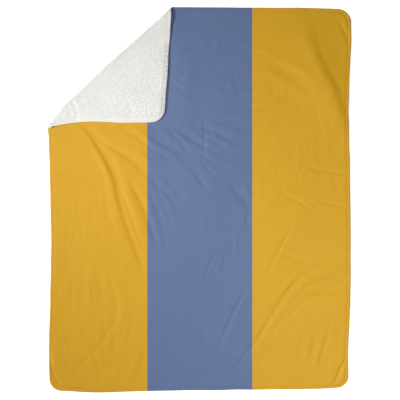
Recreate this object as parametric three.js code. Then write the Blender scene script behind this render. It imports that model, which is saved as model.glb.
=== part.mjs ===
// A fleece throw with a curly pile back, lying flat with its upper left corner turned over.
//
// Millimetres, +Z up. The origin is on the surface that the throw lies on, under the middle of
// the cloth. +Y runs along the length, +X across the width, and the turned corner is at -X, +Y.
//
// The throw is two pieces of cloth, sewn together round their edge and turned out:
//   face_panel      the smooth printed fleece, three bands of colour in one cut piece
//   sherpa_backing  the thick pile cloth behind it
// Both are one flat pattern, a rounded rectangle. A flat point (u, v) is carried to its place by
// layDown(), which turns the corner over a soft roll and lifts the cloth at its folds.

import * as THREE from 'three';

// Driving dimensions of the flat pattern
const WIDTH = 1400;
const LENGTH = 1780;
const CORNER_RADIUS = 62;

// Driving dimensions of the two cloths, and the space between them
const FACE_THICKNESS = 1.5;
const PILE_THICKNESS = 6;
const PLY_GAP = 0.3;

// The edge seam: how far each cloth is drawn towards the seam, and over what breadth
const FACE_DROP = 2.2;
const FACE_DROP_REACH = 15;
const PILE_RISE = 1.2;
const PILE_RISE_REACH = 6;
const RIM_RINGS = [5.5, 15.5];

// The turned corner: where the fold leaves the top and the left edge, how far its line bows
// outward, the radius inside the roll, the space left between the two printed sides, and how
// far the corner has slid up the throw
const FOLD_TOP_X = -133;
const FOLD_LEFT_Y = 337;
const FOLD_BOW = 14;
const FOLD_BOW_SKEW = 1.8;
const ROLL_INNER_RADIUS = 4;
const ROLL_STEPS = 7;
const FLAP_CLEARANCE = 1.6;
const FLAP_SETTLE_REACH = 85;
const FLAP_SLIDE = 16;

// The creased lower end of the turned corner: centre, reach and height of its puff
const TIP_PUFF = { x: -600, y: 395, reach: 45, height: 3.2 };
const FLAP_WAVES = [
  { alongX: 0.031, alongY: 0.017, phase: 0.4, height: 0.8 },
  { alongX: -0.019, alongY: 0.037, phase: 2.1, height: 0.6 },
];

// Spacing of the points that carry the shape
const RIM_STEP = 46;
const CORNER_STEPS = 6;
const FOLD_STEP = 40;
const CREASE_STEP = 36;
const FIELD_STEP = 74;
const FLAP_STEP = 52;
const CLEAR_OF_RIM = 24;
const CLEAR_OF_CREASE = 11;
const CLEAR_OF_FIELD = 30;
const GROUND_BESIDE_FOLD = 110;
const OUTLINE_BOW = 0.03;

// How far each edge is drawn in from the true rectangle: side, place along it, reach, depth
const EDGE_DRAWS = [
  { side: 'top', at: -135, reach: 60, depth: 2.6 },
  { side: 'top', at: 600, reach: 280, depth: 6 },
  { side: 'left', at: 337, reach: 60, depth: 2.6 },
  { side: 'left', at: -210, reach: 300, depth: 9 },
  { side: 'right', at: 440, reach: 180, depth: 11 },
  { side: 'right', at: -250, reach: 260, depth: 4 },
  { side: 'right', at: -720, reach: 150, depth: 14 },
  { side: 'bottom', at: 700, reach: 480, depth: 22 },
];
const EDGE_DRAW_POWER = 6;

// The folds that show from a step away. Each runs from one point through a second to a third,
// with the half width of its slope and the height of its middle line: below 0 is a trough.
const FOLDS = [
  { name: 'long left trough', from: [-530, 325], via: [-408, 140], to: [-270, -315], reach: 19, height: -3.4 },
  { name: 'left shoulder', from: [-470, 270], via: [-350, 90], to: [-262, -230], reach: 34, height: 5.6 },
  { name: 'second left trough', from: [-480, 318], via: [-375, 220], to: [-270, 120], reach: 16, height: -2.8 },
  { name: 'middle trough', from: [-320, 70], via: [-260, -45], to: [-205, -205], reach: 16, height: -2.9 },
  { name: 'inner diagonal', from: [-240, 170], via: [-150, 100], to: [-45, -35], reach: 18, height: 3.2 },
  { name: 'outer diagonal', from: [-255, 300], via: [-145, 250], to: [-45, 175], reach: 18, height: 2.8 },
  { name: 'top right trough', from: [520, 760], via: [597, 600], to: [684, 335], reach: 21, height: -3.6 },
  { name: 'top right swell', from: [340, 700], via: [520, 560], to: [620, 370], reach: 52, height: 7.5 },
  { name: 'top right corner', from: [655, 790], via: [675, 740], to: [690, 690], reach: 16, height: 3 },
  { name: 'long right ridge', from: [545, -290], via: [350, -495], to: [105, -830], reach: 17, height: 5.4 },
  { name: 'upper right arc', from: [690, -372], via: [610, -358], to: [500, -400], reach: 17, height: 4.4 },
  { name: 'lower right arc', from: [684, -440], via: [580, -433], to: [460, -455], reach: 15, height: -2.4 },
  { name: 'blue ridge', from: [235, -380], via: [170, -475], to: [80, -680], reach: 17, height: 4 },
  { name: 'right slant', from: [425, -115], via: [370, -210], to: [300, -335], reach: 15, height: 3.2 },
  { name: 'right edge step', from: [500, 145], via: [595, 130], to: [685, 120], reach: 14, height: -2.2 },
  { name: 'lower left curve', from: [-415, -380], via: [-385, -485], to: [-590, -800], reach: 20, height: 3.2 },
  { name: 'left corner', from: [-685, -740], via: [-665, -810], to: [-625, -868], reach: 15, height: 3.2 },
  { name: 'right corner', from: [680, -735], via: [655, -795], to: [620, -850], reach: 15, height: 3.4 },
  { name: 'right foot', from: [545, -615], via: [525, -695], to: [490, -795], reach: 16, height: 2.6 },
];

const FACE_COLOUR = 0xd6a536;
const PILE_COLOUR = 0xe9e5dc;

// Sizes that follow from the ones above
const HALF_WIDTH = WIDTH / 2;
const HALF_LENGTH = LENGTH / 2;
const SEAM_HEIGHT = PILE_THICKNESS + PLY_GAP / 2;
const ROLL_RADIUS = ROLL_INNER_RADIUS + FACE_THICKNESS + PLY_GAP / 2;
const ROLL_REACH = ROLL_RADIUS + PLY_GAP / 2 + PILE_THICKNESS;
const ROLL_LENGTH = Math.PI * ROLL_RADIUS;
const FLAP_SETTLE = 2 * ROLL_RADIUS - 2 * (FACE_THICKNESS + PLY_GAP / 2) - FLAP_CLEARANCE;

// The fold's base line runs from the top edge to the left edge, its normal into the throw
const FOLD_START = new THREE.Vector2(FOLD_TOP_X, HALF_LENGTH);
const FOLD_END = new THREE.Vector2(-HALF_WIDTH, FOLD_LEFT_Y);
const FOLD_SPAN = FOLD_START.distanceTo(FOLD_END);
const FOLD_ALONG = FOLD_END.clone().sub(FOLD_START).normalize();
const FOLD_NORMAL = new THREE.Vector2(-FOLD_ALONG.y, FOLD_ALONG.x);

function smooth(value) {
  const x = Math.min(Math.max(value, 0), 1);
  return x * x * (3 - 2 * x);
}

// Distance of a flat point from the cut edge, positive inside
function edgeDistance(u, v) {
  const x = Math.abs(u) - (HALF_WIDTH - CORNER_RADIUS);
  const y = Math.abs(v) - (HALF_LENGTH - CORNER_RADIUS);
  const outside = Math.hypot(Math.max(x, 0), Math.max(y, 0));
  return CORNER_RADIUS - outside - Math.min(Math.max(x, y), 0);
}

// The fold's own coordinates: t along its base line, s across it, positive on the lying part
function toFold(u, v) {
  const x = u - FOLD_START.x;
  const y = v - FOLD_START.y;
  return {
    t: x * FOLD_ALONG.x + y * FOLD_ALONG.y,
    s: x * FOLD_NORMAL.x + y * FOLD_NORMAL.y,
  };
}

function fromFold(t, s) {
  return [
    FOLD_START.x + t * FOLD_ALONG.x + s * FOLD_NORMAL.x,
    FOLD_START.y + t * FOLD_ALONG.y + s * FOLD_NORMAL.y,
  ];
}

// Place of the roll's axis across the fold: its outside bows out between the two edges
function rollAxis(t) {
  const share = Math.min(Math.max(t / FOLD_SPAN, 0), 1);
  return ROLL_REACH - FOLD_BOW * Math.sin(Math.PI * share ** FOLD_BOW_SKEW);
}

// Points of a fold's middle line, a curve through its three points
function foldLine(fold) {
  const [ax, ay] = fold.from;
  const [bx, by] = fold.via;
  const [cx, cy] = fold.to;
  const pull = new THREE.Vector2(2 * bx - (ax + cx) / 2, 2 * by - (ay + cy) / 2);
  const curve = new THREE.QuadraticBezierCurve(
    new THREE.Vector2(ax, ay), pull, new THREE.Vector2(cx, cy),
  );
  const steps = Math.max(2, Math.round(curve.getLength() / CREASE_STEP));
  return curve.getSpacedPoints(steps);
}

const FOLD_LINES = FOLDS.map(foldLine);

// Height of one fold at a point: a bell across its line, easing to nothing at both ends
function foldHeight(fold, line, x, y) {
  let best = Infinity;
  let place = 0;
  for (let i = 0; i + 1 < line.length; i += 1) {
    const dx = line[i + 1].x - line[i].x;
    const dy = line[i + 1].y - line[i].y;
    const share = ((x - line[i].x) * dx + (y - line[i].y) * dy) / (dx * dx + dy * dy);
    const held = Math.min(Math.max(share, 0), 1);
    const distance = Math.hypot(x - line[i].x - held * dx, y - line[i].y - held * dy);
    if (distance < best) {
      best = distance;
      place = (i + held) / (line.length - 1);
    }
  }
  const across = Math.exp(-((best / fold.reach) ** 2));
  return fold.height * across * Math.sqrt(Math.sin(Math.PI * (0.06 + 0.88 * place)));
}

// Height that the folds give the lying part at a point
function clothLift(x, y) {
  return FOLDS.reduce((sum, fold, i) => sum + foldHeight(fold, FOLD_LINES[i], x, y), 0);
}

// Soft unevenness of the turned corner
function flapLift(x, y) {
  const puff = Math.exp(-(((x - TIP_PUFF.x) ** 2 + (y - TIP_PUFF.y) ** 2) / TIP_PUFF.reach ** 2));
  const waves = FLAP_WAVES.reduce(
    (sum, wave) => sum + wave.height * (1 + Math.sin(wave.alongX * x + wave.alongY * y + wave.phase)),
    0,
  );
  return TIP_PUFF.height * puff + waves;
}

// How far the edges are drawn in at a point of the plan
function drawIn(x, y) {
  const nearX = (Math.abs(x) / HALF_WIDTH) ** EDGE_DRAW_POWER;
  const nearY = (Math.abs(y) / HALF_LENGTH) ** EDGE_DRAW_POWER;
  let dx = 0;
  let dy = 0;
  for (const { side, at, reach, depth } of EDGE_DRAWS) {
    const upright = side === 'left' || side === 'right';
    const bell = depth * Math.exp(-((((upright ? y : x) - at) / reach) ** 2));
    if (side === 'left' && x < 0) dx += bell * nearX;
    if (side === 'right' && x > 0) dx -= bell * nearX;
    if (side === 'top' && y > 0) dy -= bell * nearY;
    if (side === 'bottom' && y < 0) dy += bell * nearY;
  }
  return [dx, dy];
}

// Carries a flat point to its place. The offset is measured from the seam surface between the
// two cloths, towards the printed side. The lying part keeps its plan, the roll turns about its
// axis, and the corner beyond it lies on the throw, settling close to it away from the roll.
function layDown(u, v, offset, onGround) {
  const { t, s } = toFold(u, v);
  const axis = rollAxis(t);
  const beyond = axis - s;
  let plan = s;
  let z = SEAM_HEIGHT + offset;
  if (beyond > 0) {
    const angle = Math.min(beyond / ROLL_RADIUS, Math.PI);
    const radius = ROLL_RADIUS - offset;
    plan = axis - radius * Math.sin(angle);
    z = ROLL_REACH - radius * Math.cos(angle);
  }
  const past = Math.max(beyond - ROLL_LENGTH, 0);
  plan += past;
  const [x, y] = fromFold(t, plan);
  const settled = smooth(past / FLAP_SETTLE_REACH);
  if (past > 0) {
    z += settled * (flapLift(x, y) - FLAP_SETTLE);
  } else if (beyond <= 0 && !onGround) {
    z += clothLift(x, y);
  }
  const [dx, dy] = drawIn(x, y);
  return new THREE.Vector3(x + dx, y + dy + settled * FLAP_SLIDE, z);
}

// The four surfaces, as offsets from the seam surface at a distance from the cut edge
function faceDrop(edge) {
  return FACE_DROP * (1 - smooth(edge / FACE_DROP_REACH));
}

function pileRise(edge) {
  return PILE_RISE * (1 - smooth(edge / PILE_RISE_REACH));
}

const SURFACES = {
  print: (edge) => PLY_GAP / 2 + FACE_THICKNESS - faceDrop(edge),
  printBack: (edge) => PLY_GAP / 2 - faceDrop(edge),
  pileBack: (edge) => -PLY_GAP / 2 - faceDrop(edge),
  pile: (edge) => -PLY_GAP / 2 - PILE_THICKNESS + pileRise(edge),
};

// Triangles between points, none of whose circles holds another point. The outline is bowed out
// from the points' middle a little first, so that its straight edges come out whole.
function triangulate(points) {
  const middle = [0, 1].map((axis) => points.reduce((sum, point) => sum + point[axis], 0) / points.length);
  const bowed = points.map((point) => {
    const [x, y] = [point[0] - middle[0], point[1] - middle[1]];
    const shrink = 1 - OUTLINE_BOW * ((x * x + y * y) / (HALF_LENGTH * HALF_LENGTH));
    return [x * shrink, y * shrink];
  });
  const far = 60 * LENGTH;
  const all = [...bowed, [-far, -far], [far, -far], [0, far]];
  const count = points.length;
  const circle = (a, b, c) => {
    const [ax, ay] = all[a];
    const bx = all[b][0] - ax;
    const by = all[b][1] - ay;
    const cx = all[c][0] - ax;
    const cy = all[c][1] - ay;
    const twice = 2 * (bx * cy - by * cx);
    const x = (cy * (bx * bx + by * by) - by * (cx * cx + cy * cy)) / twice;
    const y = (bx * (cx * cx + cy * cy) - cx * (bx * bx + by * by)) / twice;
    return { corners: [a, b, c], x: x + ax, y: y + ay, square: x * x + y * y };
  };
  let open = [circle(count, count + 1, count + 2)];
  for (let i = 0; i < count; i += 1) {
    const [x, y] = bowed[i];
    const rim = new Map();
    const kept = [];
    for (const one of open) {
      if ((x - one.x) ** 2 + (y - one.y) ** 2 >= one.square) {
        kept.push(one);
        continue;
      }
      for (let k = 0; k < 3; k += 1) {
        const a = one.corners[k];
        const b = one.corners[(k + 1) % 3];
        if (!rim.delete(`${b},${a}`)) rim.set(`${a},${b}`, [a, b]);
      }
    }
    for (const [a, b] of rim.values()) kept.push(circle(a, b, i));
    open = kept;
  }
  return open.map((one) => one.corners).filter((corners) => Math.max(...corners) < count);
}

// A list of flat points that grows, refusing what lies too close to a point it has
class Pattern {
  constructor() {
    this.points = [];
  }

  add([u, v], clearance = 0) {
    if (clearance > 0) {
      const close = this.points.some(([a, b]) => Math.hypot(a - u, b - v) < clearance);
      if (close) return -1;
    }
    this.points.push([u, v]);
    return this.points.length - 1;
  }
}

// Points along the cut edge, drawn in by an inset, in equal steps from the top edge's middle
// clockwise round to it again
function outline(inset) {
  const halfX = HALF_WIDTH - CORNER_RADIUS;
  const halfY = HALF_LENGTH - CORNER_RADIUS;
  const radius = CORNER_RADIUS - inset;
  const corners = [
    { x: halfX, y: halfY, start: Math.PI / 2 },
    { x: halfX, y: -halfY, start: 0 },
    { x: -halfX, y: -halfY, start: -Math.PI / 2 },
    { x: -halfX, y: halfY, start: -Math.PI },
  ];
  const points = [];
  corners.forEach((corner, i) => {
    for (let k = 0; k <= CORNER_STEPS; k += 1) {
      const angle = corner.start - (k * Math.PI) / 2 / CORNER_STEPS;
      points.push([corner.x + radius * Math.cos(angle), corner.y + radius * Math.sin(angle)]);
    }
    const next = corners[(i + 1) % corners.length];
    const length = Math.hypot(next.x - corner.x, next.y - corner.y);
    const steps = Math.round(length / RIM_STEP);
    const [ax, ay] = points[points.length - 1];
    for (let k = 1; k < steps; k += 1) {
      const run = (k / steps) * length;
      points.push([ax + ((next.x - corner.x) / length) * run, ay + ((next.y - corner.y) / length) * run]);
    }
  });
  return points;
}

// Where a line of the roll, so far beyond its start, meets the top edge and the left edge, each
// drawn in by an inset
function rollRow(beyond, inset) {
  const side = (edge) => {
    let t = edge === 'top' ? 0 : FOLD_SPAN;
    for (let i = 0; i < 6; i += 1) {
      const s = rollAxis(t) - beyond;
      t = edge === 'top'
        ? (-inset - s * FOLD_NORMAL.y) / FOLD_ALONG.y
        : (-HALF_WIDTH + inset - FOLD_START.x - s * FOLD_NORMAL.x) / FOLD_ALONG.x;
    }
    return t;
  };
  return [side('top'), side('left')];
}

// The roll as rows of points along the fold, each with the rim's rings at its two ends
function rollRows(pattern) {
  const inner = Math.round((FOLD_SPAN - 4 * RIM_RINGS[1]) / FOLD_STEP);
  const rows = [];
  for (let k = 0; k <= ROLL_STEPS; k += 1) {
    const beyond = (ROLL_LENGTH * k) / ROLL_STEPS;
    const [rimTop, rimLeft] = rollRow(beyond, 0);
    const rings = RIM_RINGS.map((inset) => rollRow(beyond, inset));
    const [from, to] = rings[rings.length - 1];
    const places = [rimTop, ...rings.map((ring) => ring[0])];
    for (let i = 1; i < inner; i += 1) places.push(from + ((to - from) * i) / inner);
    places.push(...rings.map((ring) => ring[1]).reverse(), rimLeft);
    rows.push(places.map((t) => pattern.add(fromFold(t, rollAxis(t) - beyond))));
  }
  return rows;
}

// Hexagonal field of points over the pattern
function field(step) {
  const points = [];
  const rise = (step * Math.sqrt(3)) / 2;
  const rows = Math.floor(HALF_LENGTH / rise);
  const columns = Math.floor(HALF_WIDTH / step) + 1;
  for (let j = -rows; j <= rows; j += 1) {
    for (let i = -columns; i <= columns; i += 1) {
      points.push([(i + (j % 2 === 0 ? 0 : 0.5)) * step, j * rise]);
    }
  }
  return points;
}

// One side of the fold, lying or turned: the points it holds and its triangles. A triangle with
// all its corners on the shared row lies outside, where that row curves inward.
function region(pattern, shared, holds, spots) {
  const own = [...shared];
  for (const { point, clearance } of spots) {
    if (!holds(point)) continue;
    const index = pattern.add(point, clearance);
    if (index >= 0) own.push(index);
  }
  const triangles = triangulate(own.map((index) => pattern.points[index]))
    .filter((corners) => Math.max(...corners) >= shared.length)
    .map((corners) => corners.map((corner) => own[corner]));
  return { own, triangles };
}

function buildPattern() {
  const pattern = new Pattern();
  const rows = rollRows(pattern);
  const roll = [];
  for (let k = 0; k + 1 < rows.length; k += 1) {
    for (let i = 0; i + 1 < rows[k].length; i += 1) {
      const [a, b, c, d] = [rows[k][i], rows[k][i + 1], rows[k + 1][i + 1], rows[k + 1][i]];
      roll.push([a, d, c], [a, c, b]);
    }
  }
  const beyond = ([u, v]) => {
    const { t, s } = toFold(u, v);
    return rollAxis(t) - s;
  };
  const rims = [0, ...RIM_RINGS].flatMap((inset) => outline(inset)).map((point) => ({ point, clearance: 4 }));
  const creases = FOLDS.flatMap((fold, i) => {
    const line = FOLD_LINES[i];
    return line.flatMap((point, k) => {
      const before = line[Math.max(k - 1, 0)];
      const after = line[Math.min(k + 1, line.length - 1)];
      const across = new THREE.Vector2(before.y - after.y, after.x - before.x).normalize();
      return [0, -1.25, 1.25].map((share) => ({
        point: [point.x + across.x * share * fold.reach, point.y + across.y * share * fold.reach],
        clearance: CLEAR_OF_CREASE,
      }));
    });
  });
  const inside = (margin) => ({ point: [u, v] }) => edgeDistance(u, v) > margin;
  const lying = [
    ...rims,
    ...creases.filter(inside(RIM_RINGS[1] + CLEAR_OF_CREASE)),
    ...field(FIELD_STEP).map((point) => ({ point, clearance: CLEAR_OF_FIELD })).filter(inside(RIM_RINGS[1] + CLEAR_OF_RIM)),
  ];
  const turned = [
    ...rims,
    ...field(FLAP_STEP).map((point) => ({ point, clearance: CLEAR_OF_RIM })).filter(inside(RIM_RINGS[1] + CLEAR_OF_RIM)),
  ];
  const body = region(pattern, rows[0], (point) => beyond(point) < -6, lying);
  const flap = region(pattern, rows[rows.length - 1], (point) => beyond(point) > ROLL_LENGTH + 6, turned);
  const ground = body.own.filter((index) => {
    const point = pattern.points[index];
    return edgeDistance(...point) < RIM_RINGS[0] + 1 || beyond(point) > -GROUND_BESIDE_FOLD;
  });
  const under = triangulate(ground.map((index) => pattern.points[index]))
    .filter((corners) => Math.max(...corners) >= rows[0].length);
  return {
    points: pattern.points,
    top: [...body.triangles, ...roll, ...flap.triangles],
    under: [...under.map((corners) => corners.map((corner) => ground[corner])), ...roll, ...flap.triangles],
  };
}

// Edges that only one triangle has, in that triangle's direction
function openEdges(triangles) {
  const edges = new Map();
  for (const corners of triangles) {
    for (let k = 0; k < 3; k += 1) {
      const a = corners[k];
      const b = corners[(k + 1) % 3];
      if (!edges.delete(`${b},${a}`)) edges.set(`${a},${b}`, [a, b]);
    }
  }
  return [...edges.values()];
}

// One cloth as a closed solid: an upper and a lower surface, joined by a wall round the edge
function clothSolid(points, upper, lower) {
  const vertices = [];
  const faces = [];
  const layer = ({ offset, triangles, onGround, flip }) => {
    const placed = new Map();
    for (const index of new Set(triangles.flat())) {
      const [u, v] = points[index];
      placed.set(index, vertices.length);
      vertices.push(layDown(u, v, offset(edgeDistance(u, v)), onGround));
    }
    for (const [a, b, c] of triangles) {
      const face = [placed.get(a), placed.get(b), placed.get(c)];
      faces.push(flip ? face.reverse() : face);
    }
    return placed;
  };
  const above = layer({ ...upper, flip: false });
  const below = layer({ ...lower, flip: true });
  for (const [a, b] of openEdges(upper.triangles)) {
    faces.push([above.get(b), above.get(a), below.get(a)]);
    faces.push([above.get(b), below.get(a), below.get(b)]);
  }
  const geometry = new THREE.BufferGeometry();
  geometry.setAttribute('position', new THREE.Float32BufferAttribute(vertices.flatMap((p) => p.toArray()), 3));
  geometry.setIndex(faces.flat());
  geometry.computeVertexNormals();
  return geometry;
}

function clothMesh(name, colour, roughness, geometry) {
  const material = new THREE.MeshStandardMaterial({ color: colour, roughness, metalness: 0 });
  const mesh = new THREE.Mesh(geometry, material);
  mesh.name = name;
  return mesh;
}

function buildThrow() {
  const { points, top, under } = buildPattern();
  const facePanel = clothSolid(
    points,
    { offset: SURFACES.print, triangles: top, onGround: false },
    { offset: SURFACES.printBack, triangles: top, onGround: false },
  );
  const sherpaBacking = clothSolid(
    points,
    { offset: SURFACES.pileBack, triangles: top, onGround: false },
    { offset: SURFACES.pile, triangles: under, onGround: true },
  );
  const group = new THREE.Group();
  group.add(clothMesh('face_panel', FACE_COLOUR, 0.9, facePanel));
  group.add(clothMesh('sherpa_backing', PILE_COLOUR, 1, sherpaBacking));
  return group;
}

export default buildThrow();
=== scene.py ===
"""A fleece throw with a sherpa back, laid flat with one corner folded over.

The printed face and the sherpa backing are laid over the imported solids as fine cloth, with the
creases, the turned hem, the curls of the pile and the topstitching that the solids leave out.
All sizes are in metres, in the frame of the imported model.
"""

import logging
import math
from dataclasses import dataclass, field
from enum import Enum, IntEnum

import bpy
import numpy as np
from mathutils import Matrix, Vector


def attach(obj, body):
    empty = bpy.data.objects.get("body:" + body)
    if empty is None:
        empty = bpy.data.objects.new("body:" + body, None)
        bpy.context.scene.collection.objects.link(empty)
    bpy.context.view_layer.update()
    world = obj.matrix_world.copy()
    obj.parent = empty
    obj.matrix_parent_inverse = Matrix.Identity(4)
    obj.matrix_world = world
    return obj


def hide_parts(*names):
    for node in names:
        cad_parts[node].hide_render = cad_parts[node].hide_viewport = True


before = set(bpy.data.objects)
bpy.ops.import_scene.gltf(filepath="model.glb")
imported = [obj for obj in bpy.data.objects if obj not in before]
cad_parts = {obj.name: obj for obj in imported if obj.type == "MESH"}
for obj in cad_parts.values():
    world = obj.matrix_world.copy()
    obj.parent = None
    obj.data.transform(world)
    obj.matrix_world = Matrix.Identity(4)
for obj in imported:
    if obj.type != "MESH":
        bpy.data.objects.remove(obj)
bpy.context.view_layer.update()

Array = np.ndarray
Colour = tuple[float, float, float]
Piece = bpy.types.Object
Socket = bpy.types.NodeSocket
Waves = tuple[tuple[float, float, float], ...]
MM = 0.001
BODY = "root"
HALF_BAND = 243 * MM
STAGE_LEVEL = -0.5 * MM
WHITE = (1.0, 1.0, 1.0)
LOG = logging.getLogger("throw")


class Slot(Enum):
    """The record's material slots."""

    PRINT = "printed_fleece"
    PILE = "sherpa_pile"


class Layer(Enum):
    """The surfaces of the two cloths, from the printed face down to the pile."""

    PRINT = "print"
    FACE_BACK = "face back"
    BACKING_TOP = "backing top"
    PILE = "pile"


class Seed(IntEnum):
    """Seeds of the random draws."""

    WANDER_U = 3
    WANDER_V = 4
    SWELL = 8
    SLACK = 9
    EDGE_X = 51
    EDGE_Y = 52
    FLAP = 61
    CURL_PLACES = 71
    CLUMPS = 72
    SMALL_CLUMPS = 73
    CURLS = 74
    PATCHES = 75
    RIM_PLACES = 81
    RIM_CURLS = 82
    STITCHES = 91


def smooth(x: Array) -> Array:
    """Return the smooth step 3x² - 2x³ of x held between 0 and 1."""
    x = np.clip(x, 0.0, 1.0)
    return x * x * (3.0 - 2.0 * x)


def bell(x: Array, reach: float) -> Array:
    """Return exp(-(x / reach)²), which is 1 where x is 0."""
    return np.exp(-((x / reach) ** 2))


def unit(vectors: Array) -> Array:
    """Return the vectors at length 1."""
    return vectors / np.maximum(np.linalg.norm(vectors, axis=-1, keepdims=True), 1e-12)


def square_to(vectors: Array, normals: Array) -> Array:
    """Return the vectors less their part along the unit normals, at length 1."""
    return unit(vectors - normals * np.sum(vectors * normals, -1, keepdims=True))


def ripple(u: Array, v: Array, size: float, seed: int) -> Array:
    """Add up seven plane waves of random heading, a smooth unevenness between about -1 and 1.

    Args:
        u, v: Places on the cloth.
        size: The usual wavelength.
        seed: Picks the headings and phases.

    Returns:
        sum of sin(k · place + phase) / 3 over the seven waves, each of a wavelength near size.
    """
    rng = np.random.default_rng(seed)
    total = np.zeros(np.broadcast(u, v).shape)
    for heading, phase, stretch in rng.uniform((0, 0, 0.7), (math.tau, math.tau, 1.5), (7, 3)):
        wave = math.tau / (size * stretch)
        total += np.sin(wave * (u * math.cos(heading) + v * math.sin(heading)) + phase)
    return total / 3.0


def stand(name: str, data: bpy.types.ID) -> Piece:
    """Put an object with that data into the scene, at the origin.

    Args:
        name: Name of the object.
        data: Its mesh, camera or light.

    Returns:
        The object.
    """
    made = bpy.data.objects.new(name, data)
    bpy.context.scene.collection.objects.link(made)
    return made


@dataclass(frozen=True)
class Pattern:
    """The flat cut that both cloths share: a rectangle with rounded corners, centred on the origin."""

    width: float = 1400 * MM
    length: float = 1780 * MM
    corner_radius: float = 62 * MM

    def edge_distance(self, u: Array, v: Array) -> Array:
        """Distance from each place of the cut in to its nearest edge, below zero outside.

        It is the corner radius less the distance past the corner's centre, or less the larger of
        the distances past the corners' centre lines where neither is past.

        Args:
            u, v: Places on the cut.

        Returns:
            The distances.
        """
        over_u = np.abs(u) - (self.width / 2 - self.corner_radius)
        over_v = np.abs(v) - (self.length / 2 - self.corner_radius)
        past = np.hypot(np.maximum(over_u, 0), np.maximum(over_v, 0))
        return self.corner_radius - past - np.minimum(np.maximum(over_u, over_v), 0)

    def half_chord(self, v: Array) -> Array:
        """Half the width of the cut, which shrinks on a circle in the corners.

        Args:
            v: Heights along the cut.

        Returns:
            Half the width at each height.
        """
        r = self.corner_radius
        over = np.clip(np.abs(v) - (self.length / 2 - r), 0, r)
        return self.width / 2 - r + np.sqrt(np.maximum(r * r - over * over, 0))

    def corner_share(self, u: Array, v: Array) -> Array:
        """1 at the four corners, falling to 0 within about 150 mm of them."""
        far = np.hypot(np.abs(u) - self.width / 2, np.abs(v) - self.length / 2)
        return bell(far, 75 * MM)

    def area(self) -> float:
        """Flat area of the cut."""
        return self.width * self.length - (4 - math.pi) * self.corner_radius**2

    def rim(self, inset: float, step: float) -> tuple[Array, Array]:
        """Walk the outline once, inside the edge: quarter circles and straight sides in equal steps.

        Args:
            inset: How far inside the edge the path runs.
            step: The distance between two places on it.

        Returns:
            The places (u, v) and the unit headings, counterclockwise.
        """
        turn = np.linspace(0, math.pi / 2, 25)
        r = self.corner_radius
        corners = []
        for quarter, (side, end) in enumerate(((1, 1), (-1, 1), (-1, -1), (1, -1))):
            angle = turn + quarter * math.pi / 2
            centre = np.array((side * (self.width / 2 - r), end * (self.length / 2 - r)))
            corners.append(centre + (r - inset) * np.stack((np.cos(angle), np.sin(angle)), 1))
        path = np.concatenate(corners + [corners[0][:1]])
        run = np.concatenate(([0.0], np.cumsum(np.linalg.norm(np.diff(path, axis=0), axis=1))))
        at = np.arange(round(run[-1] / step)) * run[-1] / round(run[-1] / step)
        places = np.stack([np.interp(at, run, path[:, k]) for k in (0, 1)], 1)
        heading = unit(np.roll(places, -1, 0) - np.roll(places, 1, 0))
        return places, heading


@dataclass(frozen=True)
class Crease:
    """One soft trough or ridge along a line on the cloth, in millimetres.

    Attributes:
        line: The points it runs through.
        reach: Its half width.
        height: How far it rises, below zero for a trough.
        shoulder: The share of its height that comes back, reversed, on both sides of it.
        lean: How much wider its left side is, looking along the line, than its right side.
    """

    line: tuple[tuple[float, float], ...]
    reach: float
    height: float
    shoulder: float = 0.35
    lean: float = 1.0

    def path(self) -> Array:
        """The line with its corners cut twice, at a quarter and three quarters of each span.

        Returns:
            The points, in metres.
        """
        points = np.array(self.line, float) * MM
        for _ in range(2):
            near = 0.75 * points[:-1] + 0.25 * points[1:]
            far = 0.25 * points[:-1] + 0.75 * points[1:]
            inner = np.stack((near, far), 1).reshape(-1, 2)
            points = np.concatenate((points[:1], inner, points[-1:]))
        return points

    def add_to(self, relief: Array, u: Array, v: Array) -> None:
        """Add the crease to a relief in place.

        With d the distance to the line and r the reach on that side, the section is
        height · ((1 + shoulder) · exp(-(d/r)²) - shoulder · exp(-(d/2.2r)²)), and it fades to
        nothing at both ends as the root of a half sine of the place along the line.

        Args:
            relief: Heights over the cloth, changed in place.
            u, v: Places on the cloth, in the relief's shape.
        """
        path = self.path()
        wide = 4.0 * self.reach * max(self.lean, 1.0) * MM
        low, high = path.min(0) - wide, path.max(0) + wide
        near = (u > low[0]) & (u < high[0]) & (v > low[1]) & (v < high[1])
        if not near.any():
            return
        pu, pv = u[near], v[near]
        steps = np.linalg.norm(np.diff(path, axis=0), axis=1)
        run = np.concatenate(([0.0], np.cumsum(steps)))
        best = np.full(pu.shape, np.inf)
        along, side = np.zeros(pu.shape), np.zeros(pu.shape)
        for k, step in enumerate(steps):
            (au, av), (bu, bv) = path[k], path[k + 1]
            share = np.clip(((pu - au) * (bu - au) + (pv - av) * (bv - av)) / step**2, 0, 1)
            away = np.hypot(pu - au - share * (bu - au), pv - av - share * (bv - av))
            nearer = away < best
            turn = (bu - au) * (pv - av) - (bv - av) * (pu - au)
            best, side = np.where(nearer, away, best), np.where(nearer, turn, side)
            along = np.where(nearer, (run[k] + share * step) / run[-1], along)
        leaning = smooth(0.5 + side / (np.max(steps) * 2 * self.reach * MM))
        far = best / (self.reach * MM * (1 + (self.lean - 1) * leaning))
        section = (1 + self.shoulder) * bell(far, 1.0) - self.shoulder * bell(far, 2.2)
        fade = np.sqrt(np.sin(math.pi * (0.02 + 0.96 * along)))
        relief[near] += self.height * MM * section * fade


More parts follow.
